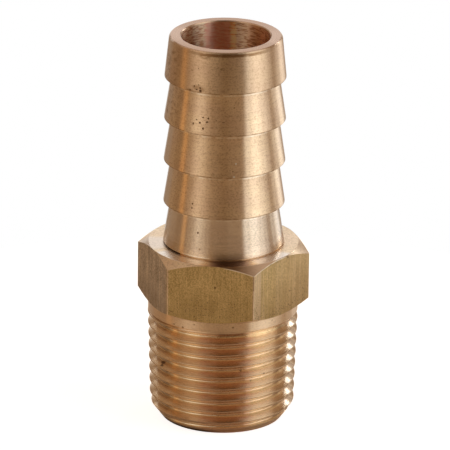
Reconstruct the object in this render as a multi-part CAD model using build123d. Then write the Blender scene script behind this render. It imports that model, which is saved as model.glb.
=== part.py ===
"""Hose barb tail: a straight brass fitting turned in one piece from hexagon bar.

A male taper pipe thread is at the foot, a hexagon for the spanner in the middle and a five-barb hose
tail on top. One plain bore runs through. All sizes are in millimetres. The origin is the centre of the
threaded end face, +Z points along the bore to the hose end, and two corners of the hexagon lie on X.
"""
from build123d import *
from math import atan, ceil, cos, degrees, radians, sqrt, tan
import os

# Taper pipe thread, 18 turns to the inch; the crest height is that of the first crest on the +X side
thread_pitch = 25.4 / 18
thread_taper = 1 / 16
thread_end_diameter = 16.65
thread_angle = 60
thread_crest_flat = 0.14
thread_root_flat = 0.10
thread_length = 13.1
thread_fade_length = 1.1
thread_crest_height = 0.62
end_face_diameter = 14.1
end_chamfer_angle = 37

# Plain collar between the thread and the hexagon
collar_diameter = 17.4
collar_length = 1.10

# Hexagon
across_flats = 17.46
hexagon_height = 6.99
hexagon_top_diameter = 17.36
hexagon_top_chamfer_angle = 32
hexagon_bottom_chamfer_angle = 27

# Hose tail
barb_count = 5
barb_pitch = 5.06
barb_crest_diameter = 14.02
barb_neck_diameter = 12.50
barb_land = 0.10
tip_length = 4.88
tip_diameter = 13.04
tip_edge_radius = 0.30
root_groove_width = 0.20
root_groove_depth = 0.20

# Bore
bore_diameter = 10.3
bore_edge_chamfer = 0.12

# Heights of the stacked parts above the end face
collar_base = thread_length
hexagon_base = collar_base + collar_length
tail_base = hexagon_base + hexagon_height
tail_top = tail_base + (barb_count - 1) * barb_pitch + tip_length

# How far cutters run past the surface that they cut
cutter_overrun = 0.5


def turned(points):
    """A solid of revolution about Z from an outline of radius and height, closed along the axis."""
    outline = Plane.XZ * Polyline(*points, close=True)
    return revolve(make_face(outline), Axis.Z)


def crest_radius(height):
    """Radius over the thread's crests, which grows from the end face upwards."""
    return (thread_end_diameter + thread_taper * height) / 2


def thread_depth():
    """Depth of a groove whose flanks leave the flats at its root and at the crests."""
    flank_width = thread_pitch - thread_crest_flat - thread_root_flat
    return flank_width / (2 * tan(radians(thread_angle / 2)))


def thread_turn(start):
    """One turn of the right-hand helix along the crests, from a height on the +X side."""
    taper_angle = atan(thread_taper / 2)
    return Helix(
        pitch=thread_pitch / cos(taper_angle),
        height=thread_pitch,
        radius=crest_radius(start),
        center=(0, 0, start),
        cone_angle=degrees(taper_angle),
    )


def thread_groove():
    """The cutter for the thread: a V with a flat root, swept turn by turn up the taper cone."""
    depth = thread_depth()
    flank_slope = tan(radians(thread_angle / 2))
    # The flanks run a little past the crests, by less than makes neighbouring turns of the cutter meet
    flank_overrun = thread_crest_flat / 3
    root_half = thread_root_flat / 2
    mouth_half = root_half + (depth + flank_overrun) * flank_slope

    # The groove's middle lies half a turn below the crest, and the sweep starts one turn below that
    start = thread_crest_height - thread_pitch / 2 - thread_pitch
    turns = ceil(thread_length / thread_pitch) + 2
    path = Wire([thread_turn(start + turn * thread_pitch) for turn in range(turns)])
    section = Plane((crest_radius(start), 0, start), x_dir=(1, 0, 0), z_dir=(0, -1, 0)) * Polyline(
        (-depth, -root_half),
        (flank_overrun, -mouth_half),
        (cutter_overrun, -mouth_half),
        (cutter_overrun, mouth_half),
        (flank_overrun, mouth_half),
        (-depth, root_half),
        close=True,
    )
    return sweep(make_face(section), path=path, is_frenet=True)


def threaded_shank():
    """The taper blank with its end chamfer, the thread cut in it, and the cone where the groove fades out."""
    end_radius = end_face_diameter / 2
    chamfer_slope = tan(radians(end_chamfer_angle))
    chamfer_top = (crest_radius(0) - end_radius) / (chamfer_slope - thread_taper / 2)
    blank = turned([
        (0, 0),
        (end_radius, 0),
        (crest_radius(chamfer_top), chamfer_top),
        (crest_radius(thread_length), thread_length),
        (0, thread_length),
    ])
    fade_start = thread_length - thread_fade_length
    fade_core = crest_radius(fade_start) - thread_depth() - thread_root_flat
    fade = turned([
        (0, fade_start),
        (fade_core, fade_start),
        (collar_diameter / 2, thread_length),
        (0, thread_length),
    ])
    return blank - thread_groove() + fade


def collar():
    """The plain band above the thread."""
    radius = collar_diameter / 2
    return turned([(0, collar_base), (radius, collar_base), (radius, hexagon_base), (0, hexagon_base)])


def hexagon():
    """The hexagon, with its corners turned off to a cone above and below."""
    flats = extrude(
        Plane.XY.offset(hexagon_base) * RegularPolygon(across_flats / 2, 6, major_radius=False),
        hexagon_height,
    )
    corner_radius = across_flats / sqrt(3)
    outer = corner_radius + cutter_overrun
    bottom = collar_diameter / 2
    top = hexagon_top_diameter / 2
    bottom_rise = (outer - bottom) * tan(radians(hexagon_bottom_chamfer_angle))
    top_drop = (outer - top) * tan(radians(hexagon_top_chamfer_angle))
    cones = turned([
        (0, hexagon_base),
        (bottom, hexagon_base),
        (outer, hexagon_base + bottom_rise),
        (outer, tail_base - top_drop),
        (top, tail_base),
        (0, tail_base),
    ])
    return flats & cones


def hose_tail():
    """Cones that widen downwards, each ending in a flat step that holds the hose, with a rounded tip."""
    crest = barb_crest_diameter / 2
    neck = barb_neck_diameter / 2
    tip = tip_diameter / 2
    groove = crest - root_groove_depth

    points = [(0, tail_base), (groove, tail_base)]
    points.append((groove, tail_base + root_groove_width))
    points.append((crest, tail_base + root_groove_width))
    for barb in range(1, barb_count):
        step = tail_base + barb * barb_pitch
        points.append((neck, step))
        points.append((crest, step))
        points.append((crest, step + barb_land))
    points.append((tip, tail_top))
    points.append((0, tail_top))

    tail = turned(points)
    tip_edge = tail.faces().sort_by(Axis.Z)[-1].edges()
    return fillet(tip_edge, tip_edge_radius)


def bore():
    """The through hole, with a small chamfer at each mouth."""
    radius = bore_diameter / 2
    mouth = radius + bore_edge_chamfer + cutter_overrun
    depth = bore_edge_chamfer
    return turned([
        (0, -cutter_overrun),
        (mouth, -cutter_overrun),
        (radius, depth),
        (radius, tail_top - depth),
        (mouth, tail_top + cutter_overrun),
        (0, tail_top + cutter_overrun),
    ])


fitting = threaded_shank() + collar() + hexagon() + hose_tail() - bore()

os.makedirs("parts", exist_ok=True)
export_step(fitting, "parts/hose_barb_tail.step")
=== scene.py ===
"""Hose barb tail: a turned brass fitting with a taper pipe thread, a hexagon and a five-barb hose tail.

The fitting is one fine mesh that stands for the frame's solid. Its outlines are drawn corner by corner,
rounded and spun, the thread is a profile run up a screw, and the shapes are then joined, cut and bored.
"""
from math import atan2, cos, degrees, hypot, pi, radians, sin, sqrt, tan

import bpy
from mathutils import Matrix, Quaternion, Vector


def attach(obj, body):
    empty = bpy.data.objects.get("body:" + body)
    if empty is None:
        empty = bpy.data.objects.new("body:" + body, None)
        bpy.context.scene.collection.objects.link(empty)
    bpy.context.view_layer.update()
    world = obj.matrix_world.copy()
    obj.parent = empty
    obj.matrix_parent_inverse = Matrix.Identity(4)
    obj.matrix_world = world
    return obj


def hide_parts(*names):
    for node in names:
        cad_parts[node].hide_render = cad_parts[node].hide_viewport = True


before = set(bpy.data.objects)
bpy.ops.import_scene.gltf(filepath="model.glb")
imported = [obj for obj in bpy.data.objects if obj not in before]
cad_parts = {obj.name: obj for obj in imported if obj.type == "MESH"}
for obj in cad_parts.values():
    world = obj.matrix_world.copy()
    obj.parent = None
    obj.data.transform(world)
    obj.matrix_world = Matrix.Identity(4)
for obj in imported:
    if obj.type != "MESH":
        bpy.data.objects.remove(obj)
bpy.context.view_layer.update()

MM = 0.001

# Which way the camera looks from, in degrees from -Y towards +X
camera_azimuth = 9.4

# Sizes of the fitting in millimetres, as in the frame
pitch = 25.4 / 18
taper = 1 / 16
thread_end_radius = 16.65 / 2
thread_length = 13.1
thread_fade_length = 1.1
first_crest = 0.62
crest_flat = 0.14
root_flat = 0.10
flank_slope = tan(radians(30))
thread_depth = (pitch - crest_flat - root_flat) / 2 / flank_slope
end_face_radius = 14.1 / 2
end_chamfer_slope = tan(radians(37))
collar_radius = 17.4 / 2
hexagon_base = 14.20
across_flats = 17.46
hexagon_top_radius = 17.36 / 2
top_chamfer_slope = tan(radians(32))
bottom_chamfer_slope = tan(radians(27))
tail_base = 21.19
barb_pitch = 5.06
barbs = 5
crest_radius = 14.02 / 2
neck_radius = 12.50 / 2
land = 0.10
tip_radius = 13.04 / 2
top = 46.31
groove_width = 0.20
groove_depth = 0.20
bore_radius = 10.3 / 2
bore_chamfer = 0.12

# Small edges: how far each rounding runs back from its corner
thread_edge = 0.05
thread_root = 0.34
fine_edge = 0.04
tip_edge = 0.29
hexagon_edge = 0.07

# How finely round shapes and edges are divided; a rounding from wide_rounding up has the wide parts
around = 192
fine_parts = 3
wide_parts = 8
wide_rounding = 0.1

# Cutters run past the surface that they cut, joined shapes run into each other, and points closer than
# same_place are one
overrun = 0.5
overlap = 0.02
same_place = 1e-4


def deselect():
    """Nothing is selected and object mode is on."""
    if bpy.context.mode != "OBJECT":
        bpy.ops.object.mode_set(mode="OBJECT")
    bpy.ops.object.select_all(action="DESELECT")


def pick(piece):
    """Makes a piece the only selected and active one."""
    deselect()
    piece.select_set(True)
    bpy.context.view_layer.objects.active = piece


def select_points(piece, wanted):
    """Selects, in object mode, the points of a piece for which wanted(position in mm) is true."""
    for edge in piece.data.edges:
        edge.select = False
    for face in piece.data.polygons:
        face.select = False
    for point in piece.data.vertices:
        point.select = wanted(point.co / MM)


def draw(name, corners):
    """Draws an outline in the XZ plane from corners of radius, height and rounding, in millimetres."""
    deselect()
    first = corners[0]
    bpy.ops.mesh.primitive_plane_add(size=MM, location=(first[0] * MM, 0, first[1] * MM))
    piece = bpy.context.object
    piece.name = name
    bpy.ops.object.transform_apply(location=True, rotation=False, scale=False)
    bpy.ops.object.mode_set(mode="EDIT")
    bpy.ops.mesh.select_all(action="SELECT")
    bpy.ops.mesh.merge(type="CENTER")
    for last, corner in zip(corners, corners[1:]):
        step = ((corner[0] - last[0]) * MM, 0, (corner[1] - last[1]) * MM)
        bpy.ops.mesh.extrude_region_move(TRANSFORM_OT_translate={"value": step})
    bpy.ops.object.mode_set(mode="OBJECT")
    for rounding in sorted({corner[2] for corner in corners if corner[2]}):
        spots = [(corner[0], corner[1]) for corner in corners if corner[2] == rounding]
        select_points(piece, lambda p: any(hypot(p.x - r, p.z - h) < same_place for r, h in spots))
        parts = fine_parts if rounding < wide_rounding else wide_parts
        bpy.ops.object.mode_set(mode="EDIT")
        bpy.ops.mesh.bevel(offset=rounding * MM, segments=parts, affect="VERTICES", clamp_overlap=False)
        bpy.ops.object.mode_set(mode="OBJECT")
    return piece


def close_up(piece):
    """Merges doubled points and turns every face outwards."""
    pick(piece)
    bpy.ops.object.mode_set(mode="EDIT")
    bpy.ops.mesh.select_all(action="SELECT")
    bpy.ops.mesh.remove_doubles(threshold=same_place * MM)
    bpy.ops.mesh.normals_make_consistent(inside=False)
    bpy.ops.object.mode_set(mode="OBJECT")
    return piece


def turn(name, corners):
    """A round solid from an outline that starts and ends on the axis."""
    piece = draw(name, corners)
    bpy.ops.object.mode_set(mode="EDIT")
    bpy.ops.mesh.select_all(action="SELECT")
    bpy.ops.mesh.spin(steps=around, angle=2 * pi, center=(0, 0, 0), axis=(0, 0, 1))
    bpy.ops.object.mode_set(mode="OBJECT")
    return close_up(piece)


def combine(piece, other, operation):
    """Joins, cuts or intersects a piece with another one, which is used up."""
    pick(piece)
    bpy.ops.object.modifier_add(type="BOOLEAN")
    step = piece.modifiers[-1]
    step.operation = operation
    step.solver = "MANIFOLD"
    step.object = other
    bpy.ops.object.modifier_apply(modifier=step.name)
    bpy.data.objects.remove(other)


def thread_strip():
    """A rounded profile run up a right-hand screw and spread to the taper, with open ends."""
    turns = 12
    turns_below = 3
    start = first_crest - turns_below * pitch
    crest = thread_end_radius
    apex = crest - (pitch - crest_flat) / 2 / flank_slope
    piece = draw("thread", [
        (crest, start, 0),
        (crest, start + crest_flat / 2, thread_edge),
        (apex, start + pitch / 2, thread_root),
        (crest, start + pitch - crest_flat / 2, thread_edge),
        (crest, start + pitch, 0),
    ])
    bpy.ops.object.modifier_add(type="SCREW")
    screw = piece.modifiers[-1]
    screw.axis = "Z"
    screw.angle = 2 * pi
    screw.screw_offset = pitch * MM
    screw.iterations = turns
    screw.steps = screw.render_steps = around
    screw.use_merge_vertices = True
    screw.merge_threshold = same_place * MM
    bpy.ops.object.modifier_apply(modifier=screw.name)
    for point in piece.data.vertices:
        distance = hypot(point.co.x, point.co.y)
        point.co.xy *= 1 + taper / 2 * point.co.z / distance
    return piece


def cap_ends(piece):
    """Closes the two open ends of a screwed strip, each with a fan of triangles."""
    pick(piece)
    bpy.ops.object.mode_set(mode="EDIT")
    bpy.ops.mesh.select_all(action="SELECT")
    bpy.ops.mesh.remove_doubles(threshold=same_place * MM)
    bpy.ops.mesh.select_all(action="DESELECT")
    bpy.ops.mesh.select_non_manifold()
    bpy.ops.mesh.fill_holes(sides=0)
    bpy.ops.object.mode_set(mode="OBJECT")
    for face in piece.data.polygons:
        face.select = len(face.vertices) > 4
    bpy.ops.object.mode_set(mode="EDIT")
    bpy.ops.mesh.select_mode(type="FACE")
    bpy.ops.mesh.poke()
    bpy.ops.mesh.select_mode(type="VERT")
    bpy.ops.object.mode_set(mode="OBJECT")
    return close_up(piece)


def thread():
    """The taper thread, cut to its length and end chamfer."""
    margin = 3
    outer = thread_end_radius + margin
    chamfer_top = (outer - end_face_radius) / end_chamfer_slope
    piece = cap_ends(thread_strip())
    limits = turn("limits", [
        (0, 0, 0),
        (end_face_radius, 0, fine_edge),
        (outer, chamfer_top, 0),
        (outer, thread_length, 0),
        (0, thread_length, 0),
    ])
    combine(piece, limits, "INTERSECT")
    return piece


def hexagon():
    """Six flats with softly broken corners, turned to a cone above and below."""
    deselect()
    corner = across_flats / sqrt(3)
    height = tail_base - hexagon_base + 4 * overrun
    middle = (tail_base + hexagon_base) / 2
    bpy.ops.mesh.primitive_cylinder_add(
        vertices=6,
        radius=corner * MM,
        depth=height * MM,
        location=(0, 0, middle * MM),
        rotation=(0, 0, pi / 6),
    )
    piece = bpy.context.object
    piece.name = "hexagon"
    bpy.ops.object.transform_apply(location=True, rotation=True, scale=False)
    for edge in piece.data.edges:
        low, high = (piece.data.vertices[i].co.z for i in edge.vertices)
        edge.select = abs(low - high) > MM
    for face in piece.data.polygons:
        face.select = False
    for point in piece.data.vertices:
        point.select = False
    bpy.ops.object.mode_set(mode="EDIT")
    bpy.ops.mesh.select_mode(type="EDGE")
    bpy.ops.mesh.bevel(offset=hexagon_edge * MM, segments=fine_parts)
    bpy.ops.mesh.select_mode(type="VERT")
    bpy.ops.object.mode_set(mode="OBJECT")

    outer = corner + overrun
    cones = turn("cones", [
        (0, hexagon_base, 0),
        (collar_radius, hexagon_base, 0),
        (outer, hexagon_base + (outer - collar_radius) * bottom_chamfer_slope, 0),
        (outer, tail_base - (outer - hexagon_top_radius) * top_chamfer_slope, 0),
        (hexagon_top_radius, tail_base, fine_edge),
        (0, tail_base, 0),
    ])
    combine(piece, cones, "INTERSECT")
    return piece


def body():
    """The turned part: the cone where the thread fades out, the collar, and the hose tail."""
    fade_start = thread_length - thread_fade_length
    fade_core = thread_end_radius + taper / 2 * fade_start - thread_depth - root_flat
    groove = crest_radius - groove_depth
    corners = [
        (0, fade_start, 0),
        (fade_core, fade_start, 0),
        (collar_radius, thread_length, 0),
        (collar_radius, hexagon_base + overlap, 0),
        (groove, hexagon_base + overlap, 0),
        (groove, tail_base + groove_width, 0),
        (crest_radius, tail_base + groove_width, fine_edge),
    ]
    for barb in range(1, barbs):
        step = tail_base + barb * barb_pitch
        corners.append((neck_radius, step, fine_edge))
        corners.append((crest_radius, step, fine_edge))
        corners.append((crest_radius, step + land, fine_edge))
    corners.append((tip_radius, top, tip_edge))
    corners.append((0, top, 0))
    return turn("body", corners)


def bore():
    """The cutter for the through hole, which is a little wider at each mouth."""
    mouth = bore_radius + bore_chamfer + overrun
    return turn("bore", [
        (0, -overrun, 0),
        (mouth, -overrun, 0),
        (bore_radius, bore_chamfer, 0),
        (bore_radius, top - bore_chamfer, 0),
        (mouth, top + overrun, 0),
        (0, top + overrun, 0),
    ])


# Pits, and the nick in two parts: degrees to the right of the camera's direction, height, radius of the
# wall there, and half sizes round the fitting, up it and into it
pits = [
    (-27.3, 44.24, 6.72, 0.08, 0.08, 0.08),
    (-30.6, 42.14, 6.91, 0.10, 0.14, 0.10),
    (-26.3, 42.36, 6.88, 0.11, 0.10, 0.10),
    (-24.4, 42.02, 6.93, 0.13, 0.17, 0.13),
    (-24, 41.7, 6.97, 0.22, 0.18, 0.17),
    (-27.7, 41.8, 6.96, 0.17, 0.08, 0.10),
    (-34.8, 41.62, 6.98, 0.21, 0.07, 0.07),
    (-28.4, 38.07, 6.76, 0.11, 0.11, 0.11),
    (-21.8, 38.44, 6.71, 0.15, 0.10, 0.11),
    (-16.5, 38.39, 6.71, 0.14, 0.15, 0.14),
    (-17.4, 37.95, 6.78, 0.17, 0.14, 0.15),
    (-24.9, 37.78, 6.8, 0.14, 0.15, 0.14),
    (-32, 37.56, 6.84, 0.13, 0.18, 0.11),
    (-21.1, 37.17, 6.9, 0.15, 0.17, 0.14),
    (-8.4, 38.22, 6.74, 0.11, 0.08, 0.07),
    (-1.4, 38.03, 6.77, 0.22, 0.07, 0.07),
    (-32.1, 27.77, 6.8, 0.13, 0.13, 0.11),
    (-32.3, 27.27, 6.87, 0.13, 0.13, 0.11),
    (-26.7, 24.26, 6.56, 0.15, 0.14, 0.14),
    (7.95, 32.12, 6.89, 0.10, 0.10, 0.08),
    (-59.5, 7.64, 8.5, 0.40, 0.14, 0.20),
    (-57.2, 7.35, 8.5, 0.22, 0.12, 0.16),
]

# The ball that cuts a pit has ball_share of the half sizes, and pit_reach is the square of a little more
ball_share = 0.85
pit_reach = 0.76


def pit_cutter():
    """Small balls, pressed into the surface where the photo shows pits."""
    balls = []
    for angle, height, wall, across, up, deep in pits:
        deselect()
        heading = radians(angle + camera_azimuth - 90)
        bpy.ops.mesh.primitive_ico_sphere_add(
            subdivisions=2,
            radius=MM,
            location=(wall * cos(heading) * MM, wall * sin(heading) * MM, height * MM),
            rotation=(0, 0, heading),
            scale=(deep * ball_share, across * ball_share, up * ball_share),
        )
        bpy.ops.object.transform_apply(location=True, rotation=True, scale=True)
        balls.append(bpy.context.object)
    deselect()
    for ball in balls:
        ball.select_set(True)
    bpy.context.view_layer.objects.active = balls[0]
    bpy.ops.object.join()
    balls[0].name = "pits"
    return balls[0]


fitting = thread()
combine(fitting, body(), "UNION")
combine(fitting, hexagon(), "UNION")
combine(fitting, bore(), "DIFFERENCE")
combine(fitting, pit_cutter(), "DIFFERENCE")
pick(fitting)
fitting.name = "brass_fitting"
sharpest_smooth_edge = 28
bpy.ops.object.shade_smooth_by_angle(angle=radians(sharpest_smooth_edge))
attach(fitting, "root")
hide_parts("hose_barb_tail")


def feed(tree, socket, item):
    """Links a value to a socket, or sets the socket to a number, a direction or a colour."""
    if isinstance(item, Value):
        tree.links.new(item.socket, socket)
    elif socket.type == "RGBA":
        socket.default_value = (*item, 1)
    else:
        socket.default_value = item


class Value:
    """A number or colour in a node tree. Arithmetic on a number adds Math nodes."""

    def __init__(self, tree, socket):
        self.tree = tree
        self.socket = socket

    def math(self, operation, *items, clamp=False):
        """The result of a Math node on items, which are numbers or other values."""
        node = self.tree.nodes.new("ShaderNodeMath")
        node.operation = operation
        node.use_clamp = clamp
        for socket, item in zip(node.inputs, items):
            feed(self.tree, socket, item)
        return Value(self.tree, node.outputs[0])

    def __add__(self, other):
        return self.math("ADD", self, other)

    def __sub__(self, other):
        return self.math("SUBTRACT", self, other)

    def __rsub__(self, other):
        return self.math("SUBTRACT", other, self)

    def __mul__(self, other):
        return self.math("MULTIPLY", self, other)

    def __truediv__(self, other):
        return self.math("DIVIDE", self, other)

    def __pow__(self, other):
        return self.math("POWER", self, other)

    __radd__ = __add__
    __rmul__ = __mul__

    def clamped(self):
        """The same number, kept between 0 and 1."""
        return self.math("ADD", self, 0, clamp=True)


class Nodes:
    """A node tree, emptied first, and the way in which nodes are added to it."""

    def __init__(self, tree):
        self.tree = tree
        tree.nodes.clear()

    def add(self, kind, options=None, **values):
        """A node of a kind, with its own options set first and then the values or links of its sockets."""
        node = self.tree.nodes.new(kind)
        for option, setting in (options or {}).items():
            setattr(node, option, setting)
        for name, item in values.items():
            feed(self.tree, node.inputs[name.replace("_", " ")], item)
        return node

    def link(self, node, out, other, into):
        """Links an output of a node to an input of another one, each by its name or number."""
        self.tree.links.new(node.outputs[out], other.inputs[into])

    def value(self, node, out):
        """What comes out of a node."""
        return Value(self.tree, node.outputs[out])


class Paint(Nodes):
    """A material and the nodes that finish it. Lengths in its patterns are in millimetres.

    Its angle is in degrees round the fitting, 0 towards the camera and positive to the right.
    """

    def __init__(self, name, **settings):
        self.material = bpy.data.materials.new(name)
        self.material.use_nodes = True
        super().__init__(self.material.node_tree)
        output = self.add("ShaderNodeOutputMaterial")
        self.shader = self.add("ShaderNodeBsdfPrincipled", **settings)
        self.link(self.shader, "BSDF", output, "Surface")
        where = self.add("ShaderNodeTexCoord")
        parts = self.add("ShaderNodeSeparateXYZ")
        self.link(where, "Object", parts, "Vector")
        self.x, self.y, self.z = (self.value(parts, axis) / MM for axis in "XYZ")
        self.radius = (self.x * self.x + self.y * self.y) ** 0.5
        self.angle = self.x.math("ARCTAN2", self.y, self.x) * (180 / pi) + (90 - camera_azimuth)

    def noise(self, x, y, z, detail=2.0, roughness=0.5):
        """Noise from 0 to 1 over three coordinates, with a grain of one unit of each."""
        place = self.add("ShaderNodeCombineXYZ", X=x, Y=y, Z=z)
        noise = self.add("ShaderNodeTexNoise", Scale=1.0, Detail=detail, Roughness=roughness)
        self.link(place, "Vector", noise, "Vector")
        return self.value(noise, "Fac")

    def grain(self, across, up, detail=2.0, roughness=0.5):
        """Noise from 0 to 1 in the metal, with a grain of some millimetres across and up."""
        return self.noise(self.x / across, self.y / across, self.z / up, detail, roughness)

    def step(self, value, low, high):
        """Runs smoothly from 0 to 1 as a value goes from low to high."""
        smooth = {"interpolation_type": "SMOOTHSTEP"}
        node = self.add("ShaderNodeMapRange", smooth, Value=value, From_Min=low, From_Max=high)
        return self.value(node, "Result")

    def between(self, value, low, high, soft):
        """1 where a value lies between low and high, and 0 where it is farther off than soft."""
        return self.step(value, low - soft, low + soft) * (1 - self.step(value, high - soft, high + soft))

    def spot(self, angle, height, wide, high):
        """1 at a spot that is wide degrees and high millimetres in half size, and 0 outside it."""
        across = (self.angle - angle) / wide
        up = (self.z - height) / high
        return 1 - self.step(across * across + up * up, 0.2, 1.0)

    def spots(self, places):
        """Several spots, each as its angle, height and half sizes."""
        total = self.spot(*places[0])
        for place in places[1:]:
            total = total + self.spot(*place)
        return total

    def mix(self, share, low, high):
        """A colour between two colours or earlier mixes."""
        node = self.add("ShaderNodeMix", {"data_type": "RGBA"})
        for number, item in ((0, share), (6, low), (7, high)):
            feed(self.tree, node.inputs[number], item)
        return self.value(node, 2)

    def finish(self, colour, roughness, height, depth):
        """Feeds the shader: colour, roughness, and bumps that stand depth millimetres high."""
        feed(self.tree, self.shader.inputs["Base Color"], colour)
        feed(self.tree, self.shader.inputs["Roughness"], roughness)
        bump = self.add("ShaderNodeBump", Strength=1.0, Distance=depth * MM, Height=height)
        self.link(bump, "Normal", self.shader, "Normal")
        return self.material


# Heights of the lowest and highest step under a barb
lowest_step = tail_base + barb_pitch
highest_step = tail_base + (barbs - 1) * barb_pitch

# Stains and specks: degrees to the right of the camera's direction, height, and half sizes in degrees and
# in millimetres of height
stains = (
    (-26, 41.95, 9, 0.55),
    (-36, 41.6, 6, 0.25),
    (9.2, 39.7, 1.2, 0.12),
    (-75.3, 37.6, 3, 0.3),
    (-21, 45.7, 8, 0.3),
    (-3, 44.4, 3, 0.2),
    (-34, 43.9, 1.5, 0.15),
)
dark_specks = (
    (-31.8, 13.2, 1.2, 0.14),
    (7.9, 13.7, 1.1, 0.12),
    (34.2, 12.7, 1.2, 0.12),
    (-23.7, 22.4, 1.0, 0.12),
    (-40, 13.3, 1.0, 0.10),
    (-22, 13.8, 0.8, 0.08),
    (41, 13.9, 0.8, 0.08),
)
bright_specks = (
    (11.2, 33.0, 1.0, 0.14),
    (9.1, 31.5, 1.3, 0.12),
    (5.7, 12.75, 0.9, 0.09),
)
dark_spots_on_flats = (
    (-6, 18.6, 1.2, 0.2),
    (57.5, 21.03, 1.2, 0.14),
)
dark_spots_on_thread = (
    (-59, 7.55, 3.6, 0.15),
    (-57, 7.35, 2.4, 0.12),
    (16.6, 8.3, 1.2, 0.10),
    (26.4, 6.9, 1.2, 0.10),
    (34.4, 7.5, 1.2, 0.10),
)
# Brown for stains and specks, and for painted shade on the barb crests, under the front of the rim and
# under the collar
dirt_and_shade_brown = (0.34, 0.19, 0.09)


def ring_marks(paint, rings):
    """The colour of turned brass, darker along the rings and in its grain, and lighter between them."""
    patches = paint.grain(2.5, 2.5, detail=3.0)
    grain = paint.grain(0.22, 0.16, detail=2.0, roughness=0.6)
    dark = paint.step(rings, 0.45, 0.72) * 0.20 + paint.step(grain, 0.42, 0.72) * 0.62
    light = paint.step(rings * 0.5 + grain * 0.5, 0.36, 0.24)
    colour = paint.mix(paint.step(patches, 0.35, 0.7), (0.87, 0.645, 0.405), (0.82, 0.59, 0.385))
    colour = paint.mix(dark, colour, (0.52, 0.34, 0.20))
    return paint.mix(light * 0.5, colour, (1.0, 0.86, 0.64))


def cone_tints_and_painted_light(paint, colour, highest, lowest):
    """Painted shade on the sides of the highest cone, greyer metal on the lowest one, and a painted
    highlight on the left edge.
    """
    highest_sides_shade = highest * (1 - paint.between(paint.angle, -14, 20, 8))
    left_edge_highlight = paint.between(paint.angle, -97, -68, 5) * (1 - lowest * 0.5)
    # Painted shade browns the sides of the highest cone, away from its front
    colour = paint.mix(highest_sides_shade * 0.28, colour, (0.62, 0.38, 0.22))
    colour = paint.mix(lowest * 0.27, colour, (0.70, 0.70, 0.66))
    # Painted highlight: the cones' left edge is paler
    return paint.mix(left_edge_highlight * 0.5, colour, (0.80, 0.72, 0.66))


def barb_shade_and_highlight(paint, colour):
    """Painted shade on the barbs' crests, and here and there a painted highlight line at the neck below the
    step.
    """
    steps = (paint.z - tail_base) / barb_pitch
    from_step = (steps - steps.math("ROUND", steps)) * barb_pitch
    barb = paint.between(paint.z, lowest_step - 0.75, highest_step + 0.75, 0.1)
    on_crest = paint.step(paint.radius, crest_radius - 0.13, crest_radius - 0.07)
    on_neck = 1 - paint.step(paint.radius, neck_radius + 0.15, neck_radius + 0.25)
    crest = barb * paint.between(from_step, -0.03, 0.13, 0.03) * on_crest
    neck = barb * paint.between(from_step, -0.46, -0.30, 0.04) * on_neck
    patchy = paint.noise(paint.x / 0.8, paint.y / 0.8, steps, detail=2.0)
    # Painted shade under each step along the crest, broken up by noise
    colour = paint.mix(crest * paint.step(patchy, 0.3, 0.6) * 0.65, colour, dirt_and_shade_brown)
    # Painted highlight: a reflected light line on the neck below each step
    return paint.mix(neck * (1 - paint.step(patchy, 0.4, 0.7)) * 0.6, colour, (1.0, 0.88, 0.68))


def shoulder_painted_light(paint, colour, shoulder, chamfer):
    """Painted light on the hexagon's top ring, pale reflections at its sides and shade in front, painted
    shade on the front of its chamfer, and a painted highlight line low on the tail's left.
    """
    ring_sides_reflection = paint.between(paint.angle, -62, -18, 4) + paint.between(paint.angle, 27, 62, 4)
    ring_front_shade = paint.between(paint.angle, -11, 23, 5)
    chamfer_front_shade = paint.between(paint.angle, 0, 44, 6)
    tail_foot = paint.between(paint.z, tail_base + 0.17, tail_base + 0.34, 0.04)
    tail_foot_highlight = tail_foot * paint.between(paint.angle, -42, -13, 2)
    # Painted reflections: pale sides and a dark front on the ring, a dark front on the chamfer, a light
    # line at the tail's foot
    colour = paint.mix(shoulder * ring_sides_reflection * 0.7, colour, (1.0, 0.93, 0.86))
    colour = paint.mix(shoulder * ring_front_shade * 0.8, colour, (0.22, 0.10, 0.07))
    colour = paint.mix(chamfer * chamfer_front_shade * 0.8, colour, (0.45, 0.26, 0.15))
    return paint.mix(tail_foot_highlight * 0.8, colour, (1.0, 0.92, 0.78))


def rim_circles(paint):
    """The colour of the rim's flat face, with fine circles."""
    circles = paint.noise(0, 0, paint.radius / 0.07, detail=1.0)
    return paint.mix(paint.step(circles, 0.35, 0.65), (0.52, 0.325, 0.22), (0.65, 0.42, 0.285))


def dirt_and_painted_shade(paint, colour):
    """Painted shade under the front of the rim and under the collar on the left, stains on the left of the
    upper barbs and elsewhere, and specks.
    """
    cloud = paint.grain(0.7, 0.4, detail=4.0, roughness=0.65)
    # Painted shade: a dark reflected line under the front of the rim
    rim = paint.between(paint.angle, -34, 46, 16) * paint.between(paint.z, 45.80, 46.14, 0.07)
    left = paint.between(paint.angle, -82, -54, 7) * paint.between(paint.z, 36.5, 45.6, 0.6)
    # Painted shadow under the collar on the left
    collar = paint.between(paint.angle, -72, -36, 5) * paint.between(paint.z, 12.8, 12.97, 0.03)
    share = rim * paint.step(cloud, 0.15, 0.55) + left * paint.step(cloud, 0.43, 0.70) * 0.6 + collar * 0.6
    share = share + paint.spots(stains) * paint.step(cloud, 0.3, 0.6) * 0.7
    share = share + paint.spots(dark_specks) * 0.9
    colour = paint.mix(share.clamped(), colour, dirt_and_shade_brown)
    return paint.mix(paint.spots(bright_specks).clamped(), colour, (1.0, 0.96, 0.88))


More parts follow.
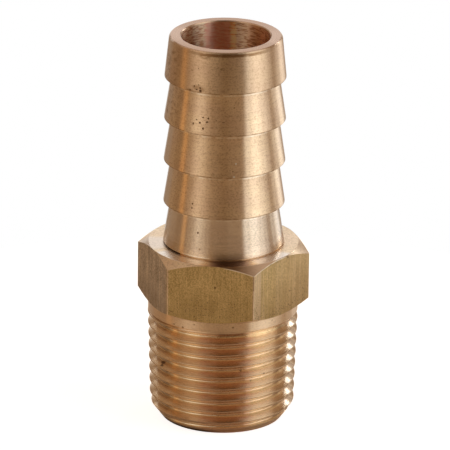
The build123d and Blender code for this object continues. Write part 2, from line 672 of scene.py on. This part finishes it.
def turned_brass():
    """Fine rings left by the turning tool, which spread a reflection up and down the wall."""
    paint = Paint("turned_brass", Metallic=1.0, Anisotropic=1.0, Anisotropic_Rotation=0.25)
    along = paint.z + paint.radius
    rings = paint.noise(paint.x / 4, paint.y / 4, along / 0.11, detail=1.0)
    bands = paint.noise(paint.x / 20, paint.y / 20, along / 0.5, detail=2.0)
    highest = paint.step(paint.z, highest_step - 0.03, highest_step + 0.07)
    lowest = paint.between(paint.z, tail_base + 0.05, lowest_step, 0.02)
    face = paint.step(paint.z, top - 0.09, top - 0.01)
    collar = 1 - paint.step(paint.z, hexagon_base - 0.2, hexagon_base + 0.1)
    outside = paint.step(paint.radius, crest_radius + 0.01, crest_radius + 0.05)
    shoulder = paint.between(paint.z, tail_base - 0.012, tail_base + 0.1, 0.008) * outside
    chamfer = paint.between(paint.z, tail_base - 2.69, tail_base - 0.03, 0.01) * outside

    colour = ring_marks(paint, rings)
    colour = cone_tints_and_painted_light(paint, colour, highest, lowest)
    colour = barb_shade_and_highlight(paint, colour)
    colour = shoulder_painted_light(paint, colour, shoulder, chamfer)
    colour = paint.mix(face, colour, rim_circles(paint))
    colour = paint.mix(collar * 0.35, colour, (0.98, 0.72, 0.46))
    colour = dirt_and_painted_shade(paint, colour)
    roughness = 0.25 + 0.05 * rings + 0.04 * bands + highest * 0.07 - lowest * 0.06
    roughness = roughness - face * 0.12 - shoulder * 0.08 + chamfer * 0.1
    return paint.finish(colour, roughness, rings * 0.7 + bands * 0.3, 0.0015)


def flat_stripes(paint, colour, left):
    """Light and dark stripes along the bar, mostly right of the front corner, and the right flat's tone."""
    right = paint.step(paint.angle, 20, 22) * (1 - paint.step(paint.angle, 28, 40) * 0.6)
    striped = right * 0.7 + left * 0.35
    stripes = paint.grain(0.26, 30, detail=1.0)
    colour = paint.mix(striped * paint.step(stripes, 0.50, 0.60) * 0.45, colour, (0.40, 0.23, 0.11))
    colour = paint.mix(striped * (1 - paint.step(stripes, 0.38, 0.48)) * 0.5, colour, (1.0, 0.80, 0.52))
    colour = paint.mix(paint.between(paint.angle, 20, 27.5, 1) * 0.35, colour, (1.0, 0.80, 0.58))
    return paint.mix(paint.step(paint.angle, 24, 70) * 0.35, colour, (0.62, 0.41, 0.23))


def drawn_brass():
    """The flats of the bar, with fine streaks along it and dark specks, browner on the left one, and a
    painted highlight along the front flat's upper edge.
    """
    paint = Paint("drawn_brass", Metallic=1.0, Anisotropic=0.7)
    streaks = paint.step(paint.grain(0.14, 4), 0.25, 0.75)
    broad = paint.grain(0.8, 20, detail=1.0)
    blotches = paint.grain(2.2, 2.2, detail=3.0, roughness=0.6)
    specks = paint.grain(0.15, 0.20, detail=3.0, roughness=0.6)
    left = 1 - paint.step(paint.angle, -43.4, -37.4)
    tone = streaks * 0.27 + paint.step(specks, 0.33, 0.67) * 0.55 + paint.step(blotches, 0.3, 0.7) * 0.18
    browns = paint.mix(tone, (0.12, 0.075, 0.045), (0.95, 0.80, 0.62))
    colour = paint.mix(tone, (0.35, 0.225, 0.075), (0.93, 0.70, 0.33))
    colour = paint.mix(left * 0.9, colour, browns)
    colour = flat_stripes(paint, colour, left)

    # The painted highlight along the upper edge of the front flat, and dark chips and specks
    below_edge = tail_base - (paint.radius - hexagon_top_radius) * top_chamfer_slope - paint.z
    edge = (1 - paint.step(below_edge, 0.06, 0.14)) * paint.between(paint.angle, 2, 54, 4)
    chips = paint.between(below_edge, 0, 0.3, 0.1) * paint.between(paint.angle, 27, 66, 3)
    chips = chips * paint.step(specks, 0.55, 0.63)
    low = paint.step(paint.z, 19.5, 15.0)
    dark = paint.step(specks + low * 0.10, 0.62, 0.73) + chips + paint.spots(dark_spots_on_flats)
    dark = dark.clamped()
    colour = paint.mix(edge, colour, (1.0, 0.88, 0.68))
    colour = paint.mix(dark * 0.8, colour, (0.18, 0.10, 0.04))
    return paint.finish(colour, 0.38 + 0.1 * broad, streaks * 0.4 + broad * 0.4 - dark, 0.004)


def crest_painted_shade(paint, colour, from_crest, highlight_zone):
    """Painted shade on the crests and on the lower part of the flank above, and a painted dark band on the
    left.
    """
    toward_crest = 1 - paint.step(from_crest, 0.0, 0.34)
    toward_crest = toward_crest * (1 - paint.between(paint.angle, -66, -48, 3) * 0.85)
    left_band_shade = paint.between(from_crest, 0.23, 0.42, 0.04) * paint.between(paint.angle, -79, -53, 3)
    crest_sides = paint.between(paint.angle, -44, -8, 5) + paint.step(paint.angle, 14, 26)
    crest_line_shade = (1 - paint.step(from_crest, 0.04, 0.13)) * crest_sides * (1 - highlight_zone)
    # Painted shade towards the crests, in a band on the left and along the crest line at the sides
    colour = paint.mix(toward_crest * 0.45, colour, (0.46, 0.29, 0.15))
    colour = paint.mix(left_band_shade * 0.4, colour, (0.25, 0.14, 0.08))
    return paint.mix(crest_line_shade * 0.4, colour, (0.46, 0.29, 0.15))


def side_painted_light(paint, colour, from_crest, highlight_zone):
    """Painted shade in the roots towards both sides, and on the right slanted painted highlights with
    painted shade round them.
    """
    sides = paint.step(paint.angle.math("ABSOLUTE", paint.angle), 48, 58)
    root = paint.between(from_crest, 0.38, 0.66, 0.03)
    slanted = paint.angle + from_crest * 12
    spots = paint.step(slanted, 65.8, 67.6) * (1 - paint.step(paint.angle, 72, 74.5))
    above = paint.between(from_crest, 0.31, 0.56, 0.02) * paint.step(paint.angle, 66, 70)
    beside = paint.between(paint.angle, 63, 81, 1) * (1 - paint.step(from_crest, 0.30, 0.34)) * (1 - spots)
    # Painted shade in the roots at both sides and round the highlight spots
    colour = paint.mix(sides * root * 0.65, colour, (0.28, 0.16, 0.09))
    colour = paint.mix((above * 0.6 + beside * 0.55).clamped(), colour, (0.30, 0.18, 0.10))
    # Painted highlight: the slanted light spots on the right
    return paint.mix(highlight_zone * spots * 0.2, colour, (1.0, 0.97, 0.95))


def threaded_brass():
    """The cut thread: smoother metal with a painted highlight just below its roots, a redder painted
    reflection in front, painted shade at the foot, and nicked.
    """
    paint = Paint("threaded_brass", Metallic=1.0, Anisotropic=1.0, Anisotropic_Rotation=0.25)
    patches = paint.grain(1.5, 1.5, detail=3.0)
    grain = paint.grain(0.25, 0.12)

    # The share of the pitch by which a point lies above the crest under it
    turns = (paint.z - first_crest) / pitch - (paint.angle + (camera_azimuth - 90)) / 360
    from_crest = turns.math("FRACT", turns)
    front = paint.between(paint.angle, -19, 26, 4)
    # Where the painted highlight spots lie on the right, kept free of grain and painted crest shade
    highlight_zone = paint.between(paint.angle, 63, 76, 2) * (1 - paint.step(from_crest, 0.28, 0.36))
    # A painted highlight band just below the roots, shifted with angle, on smoother metal
    lowered = from_crest + 0.07 * paint.step(paint.angle, 5, 28)
    root_highlight = paint.between(lowered, 0.35, 0.47, 0.02) * (1 - paint.step(paint.angle, 58, 66))
    foot = paint.step(paint.z, 0.5, 0.2) * paint.between(paint.angle, -88, -10, 15)

    colour = paint.mix(patches, (0.86, 0.61, 0.37), (0.86, 0.64, 0.41))
    # Painted reflection: the thread is redder in front
    colour = paint.mix(front * 0.27, colour, (0.73, 0.32, 0.22))
    colour = paint.mix(paint.step(grain, 0.45, 0.8) * 0.3 * (1 - highlight_zone), colour, (0.50, 0.32, 0.16))
    colour = crest_painted_shade(paint, colour, from_crest, highlight_zone)
    # Painted highlight below the roots
    colour = paint.mix(root_highlight, colour, (1.0, 0.90, 0.68))
    colour = side_painted_light(paint, colour, from_crest, highlight_zone)
    # Painted shade at the foot on the left
    colour = paint.mix(foot * 0.9, colour, (0.06, 0.03, 0.02))
    colour = paint.mix(paint.spots(dark_spots_on_thread).clamped() * 0.8, colour, (0.12, 0.06, 0.03))
    roughness = 0.23 + 0.04 * patches - root_highlight * 0.09
    return paint.finish(colour, roughness, grain, 0.0006)


def bored_brass():
    """The drilled wall, with wavy chatter marks, and painted reflection bands: browner on the right, a
    golden strip right of the middle, and redder in the middle of the visible side.
    """
    paint = Paint("bored_brass", Metallic=1.0, Anisotropic=1.0, Anisotropic_Rotation=0.25)
    lines = paint.step(paint.grain(0.8, 0.16), 0.40, 0.56)
    waves = paint.grain(0.3, 0.16)
    tone = lines * 0.8 + waves * 0.2
    ragged = paint.angle + lines * 2.5 + waves * 4
    right = 1 - paint.step(paint.angle, 144, 154)
    middle = paint.between(ragged, 178, 211, 2.5)
    gold_reflection = paint.between(ragged, 170.5, 178, 1)
    colour = paint.mix(tone, (0.56, 0.27, 0.13), (1.0, 0.80, 0.56))
    # Painted reflection bands by angle: browner on the right, redder in the middle, and a golden strip
    colour = paint.mix(right * 0.8, colour, paint.mix(tone, (0.58, 0.27, 0.14), (1.0, 0.62, 0.38)))
    colour = paint.mix(middle * 0.9, colour, paint.mix(tone, (0.94, 0.46, 0.30), (1.0, 0.60, 0.44)))
    colour = paint.mix(gold_reflection * 0.95, colour, paint.mix(lines, (0.94, 0.48, 0.20), (1.0, 0.76, 0.40)))
    return paint.finish(colour, 0.27 + 0.1 * waves, lines, 0.006)


def pitted_and_shaded_brass():
    """The dull dark inside of pits and nicks, and painted shadow, nearly black, in the undercut."""
    paint = Paint("pitted_and_shaded_brass", Metallic=1.0)
    grain = paint.grain(0.1, 0.1)
    undercut = paint.between(paint.z, tail_base, tail_base + groove_width, 0.01)
    colour = paint.mix(grain, (0.28, 0.16, 0.08), (0.48, 0.30, 0.16))
    # Painted shadow in the undercut
    colour = paint.mix(undercut, colour, (0.03, 0.015, 0.01))
    return paint.finish(colour, 0.5 + 0.1 * grain, grain, 0.004)


def in_a_pit(angle, height, radius):
    """Whether a point lies on the wall of one of the pits."""
    for pit_angle, pit_height, wall, across, up, deep in pits:
        sideways = radians(angle - pit_angle) * radius / across
        upwards = (height - pit_height) / up
        inwards = (radius - wall) / deep
        if sideways ** 2 + upwards ** 2 + inwards ** 2 < pit_reach:
            return True
    return False


def in_the_undercut(angle, height, radius):
    """Whether a point lies in the left part of the narrow groove at the tail's root, where shadow is
    painted.
    """
    in_groove = tail_base < height < tail_base + groove_width and radius < crest_radius - 0.02
    return in_groove and -98 < angle < -48


def metal_of(face):
    """The metal of the zone that a face of the fitting lies in. Areas are in square millimetres."""
    largest_pit_face = 0.03
    smallest_flat = 10
    collar_start = thread_length - 0.3
    middle = face.center / MM
    area = face.area / MM / MM
    radius = hypot(middle.x, middle.y)
    angle = degrees(atan2(middle.y, middle.x)) - camera_azimuth + 90
    upright = abs(face.normal.z) < 0.02
    if radius < bore_radius + 0.01:
        return bored_brass
    if area < largest_pit_face and in_a_pit(angle, middle.z, radius):
        return pitted_and_shaded_brass
    if in_the_undercut(angle, middle.z, radius):
        return pitted_and_shaded_brass
    if upright and hexagon_base < middle.z < tail_base and area > smallest_flat:
        return drawn_brass
    if middle.z < collar_start:
        return threaded_brass
    return turned_brass


def dress():
    """Gives every face of the fitting its metal."""
    metals = [turned_brass, drawn_brass, threaded_brass, bored_brass, pitted_and_shaded_brass]
    fitting.data.materials.clear()
    for metal in metals:
        fitting.data.materials.append(metal())
    for face in fitting.data.polygons:
        face.material_index = metals.index(metal_of(face))


dress()

# The camera, at the photo's angle, and the place that it and the lamps point at
camera_elevation = 20.22
camera_roll = 0.687
camera_distance = 0.803
camera_lens = 555
sensor_width = 36
image_width = 450
axis_left_of_middle = 1.27
look_at = Vector((0, 0, 23.10 * MM))
lamp_distance = 0.45


def towards(azimuth, elevation):
    """A direction from the fitting; azimuth 0 is the camera's, and positive ones are to its right."""
    turn_angle = radians(camera_azimuth + azimuth)
    lift = radians(elevation)
    return Vector((sin(turn_angle) * cos(lift), -cos(turn_angle) * cos(lift), sin(lift)))


def set_camera():
    """A long lens from far off, turned and shifted a little as the photo is."""
    camera = bpy.data.objects.new("camera", bpy.data.cameras.new("camera"))
    bpy.context.scene.collection.objects.link(camera)
    bpy.context.scene.camera = camera
    back = towards(0, camera_elevation)
    roll = Quaternion((0, 0, 1), radians(camera_roll))
    camera.rotation_mode = "QUATERNION"
    camera.location = look_at + back * camera_distance
    camera.rotation_quaternion = (-back).to_track_quat("-Z", "Y") @ roll
    camera.data.sensor_width = sensor_width
    camera.data.lens = camera_lens
    camera.data.shift_x = axis_left_of_middle / image_width
    camera.data.clip_start = 0.01


def softbox(name, azimuths, elevations, level, colour=(1, 1, 1)):
    """A flat lamp over a range of azimuths and elevations, as the fitting sees it. Level 1 is white."""
    half_width = radians(azimuths[1] - azimuths[0]) / 2
    half_height = radians(elevations[1] - elevations[0]) / 2
    lamp = bpy.data.lights.new(name, "AREA")
    lamp.shape = "RECTANGLE"
    lamp.size = 2 * lamp_distance * tan(half_width)
    lamp.size_y = 2 * lamp_distance * tan(half_height)
    lamp.energy = pi * lamp.size * lamp.size_y * level
    lamp.color = colour
    holder = bpy.data.objects.new(name, lamp)
    direction = towards(sum(azimuths) / 2, sum(elevations) / 2)
    holder.location = look_at + direction * lamp_distance
    holder.rotation_mode = "QUATERNION"
    holder.rotation_quaternion = direction.to_track_quat("Z", "Y")
    bpy.context.scene.collection.objects.link(holder)


def set_lights():
    """Upright softboxes round the fitting. Several overlap where the light falls off gently to one side."""
    cool = (1.0, 1.14, 1.28)
    warm = (1.0, 0.95, 0.88)
    neutral = (1.0, 1.04, 1.04)
    orange = (1, 0.55, 0.20)
    low = (-30, 32)
    tall = (-30, 65)
    behind = (-30, 22)
    beside = (-30, 40)
    softbox("key_wide", (37, 116), low, 0.20, cool)
    softbox("key", (39.5, 98), low, 0.36, cool)
    softbox("key_near", (42.5, 87), low, 0.36, cool)
    softbox("key_core", (54, 75), tall, 0.38, cool)
    softbox("key_top", (48, 94), (32, 65), 0.82, cool)
    softbox("fill_wide", (-80, -26), tall, 0.17, warm)
    softbox("fill", (-67, -36), tall, 0.19, neutral)
    softbox("fill_core", (-60, -44), tall, 0.16, neutral)
    softbox("fill_top", (-72, -17), (26, 45), 0.60, warm)
    softbox("rim_wide", (112, 153), behind, 0.42, cool)
    softbox("rim", (126, 147), behind, 0.56, cool)
    softbox("rim_high", (142.5, 151.5), (24, 34), 4.8, cool)
    softbox("top_right", (118, 152), (47, 73), 0.22)
    softbox("top_left", (-152, -118), (40, 73), 0.28)
    softbox("left", (-150, -112), beside, 0.06)
    softbox("left_high", (-157, -149), (18, 30), 1.15, cool)
    softbox("stripe", (-92.5, -82), beside, 0.41, orange)
    softbox("front", (8, 38), low, 0.05, warm)


def seen_and_mirrored(nodes):
    """1 where the camera looks straight at a thing, and 1 where it sees it in metal."""
    path = nodes.add("ShaderNodeLightPath")
    seen = nodes.value(path, "Is Camera Ray")
    mirrored = nodes.value(path, "Is Glossy Ray") + nodes.value(path, "Is Transmission Ray")
    return seen, mirrored


def set_world():
    """White for the camera. The fitting has a dim warm room, darker above the camera, and the backdrop."""
    backdrop_half_width = 21
    ceiling = towards(4, 45)
    back = towards(180, 0)
    world = bpy.data.worlds.new("studio")
    bpy.context.scene.world = world
    world.use_nodes = True
    nodes = Nodes(world.node_tree)
    where = nodes.add("ShaderNodeTexCoord")
    parts = nodes.add("ShaderNodeSeparateXYZ")
    nodes.link(where, "Generated", parts, "Vector")
    x, y, z = (nodes.value(parts, axis) for axis in "XYZ")
    across = (back.x * x + back.y * y) / (x * x + y * y) ** 0.5
    backdrop = ((across - cos(radians(backdrop_half_width))) / 0.05).clamped()
    backdrop = backdrop * ((z + 0.45) / 0.2).clamped() * ((0.97 - z) / 0.2).clamped()
    gloom = ((ceiling.x * x + ceiling.y * y + ceiling.z * z - 0.68) / 0.25).clamped()
    seen, mirrored = seen_and_mirrored(nodes)
    share = (seen + mirrored * backdrop).clamped()
    room = nodes.add("ShaderNodeBackground", Color=(0.31, 0.211, 0.13), Strength=1 - gloom * 0.8)
    white = nodes.add("ShaderNodeBackground", Color=(1, 1, 1))
    blend = nodes.add("ShaderNodeMixShader", Fac=share)
    output = nodes.add("ShaderNodeOutputWorld")
    nodes.link(room, "Background", blend, 1)
    nodes.link(white, "Background", blend, 2)
    nodes.link(blend, "Shader", output, "Surface")


def pale_floor():
    """Matte and pale, lifted to white for the camera and, behind the fitting, for metal that mirrors it."""
    behind_half_width = 36
    material = bpy.data.materials.new("pale_floor")
    material.use_nodes = True
    nodes = Nodes(material.node_tree)
    where = nodes.add("ShaderNodeTexCoord")
    heading = nodes.add("ShaderNodeVectorMath", {"operation": "NORMALIZE"})
    along = nodes.add("ShaderNodeVectorMath", {"operation": "DOT_PRODUCT"})
    feed(nodes.tree, along.inputs[1], towards(180, 0))
    nodes.link(where, "Object", heading, 0)
    nodes.link(heading, "Vector", along, 0)
    behind = ((nodes.value(along, "Value") - cos(radians(behind_half_width))) / 0.15).clamped()
    seen, mirrored = seen_and_mirrored(nodes)
    matte = nodes.add("ShaderNodeBsdfDiffuse", Color=(0.75, 0.62, 0.50))
    lift = nodes.add("ShaderNodeEmission", Strength=(seen + mirrored * behind) * 0.85)
    both = nodes.add("ShaderNodeAddShader")
    output = nodes.add("ShaderNodeOutputMaterial")
    nodes.link(matte, "BSDF", both, 0)
    nodes.link(lift, "Emission", both, 1)
    nodes.link(both, "Shader", output, "Surface")
    return material


def set_floor():
    """A plain round floor."""
    floor_radius = 60
    deselect()
    bpy.ops.mesh.primitive_circle_add(vertices=96, radius=floor_radius * MM, fill_type="NGON")
    floor = bpy.context.object
    floor.name = "floor"
    floor.data.materials.append(pale_floor())


set_camera()
set_lights()
set_world()
set_floor()
bpy.context.scene.view_settings.view_transform = "Standard"
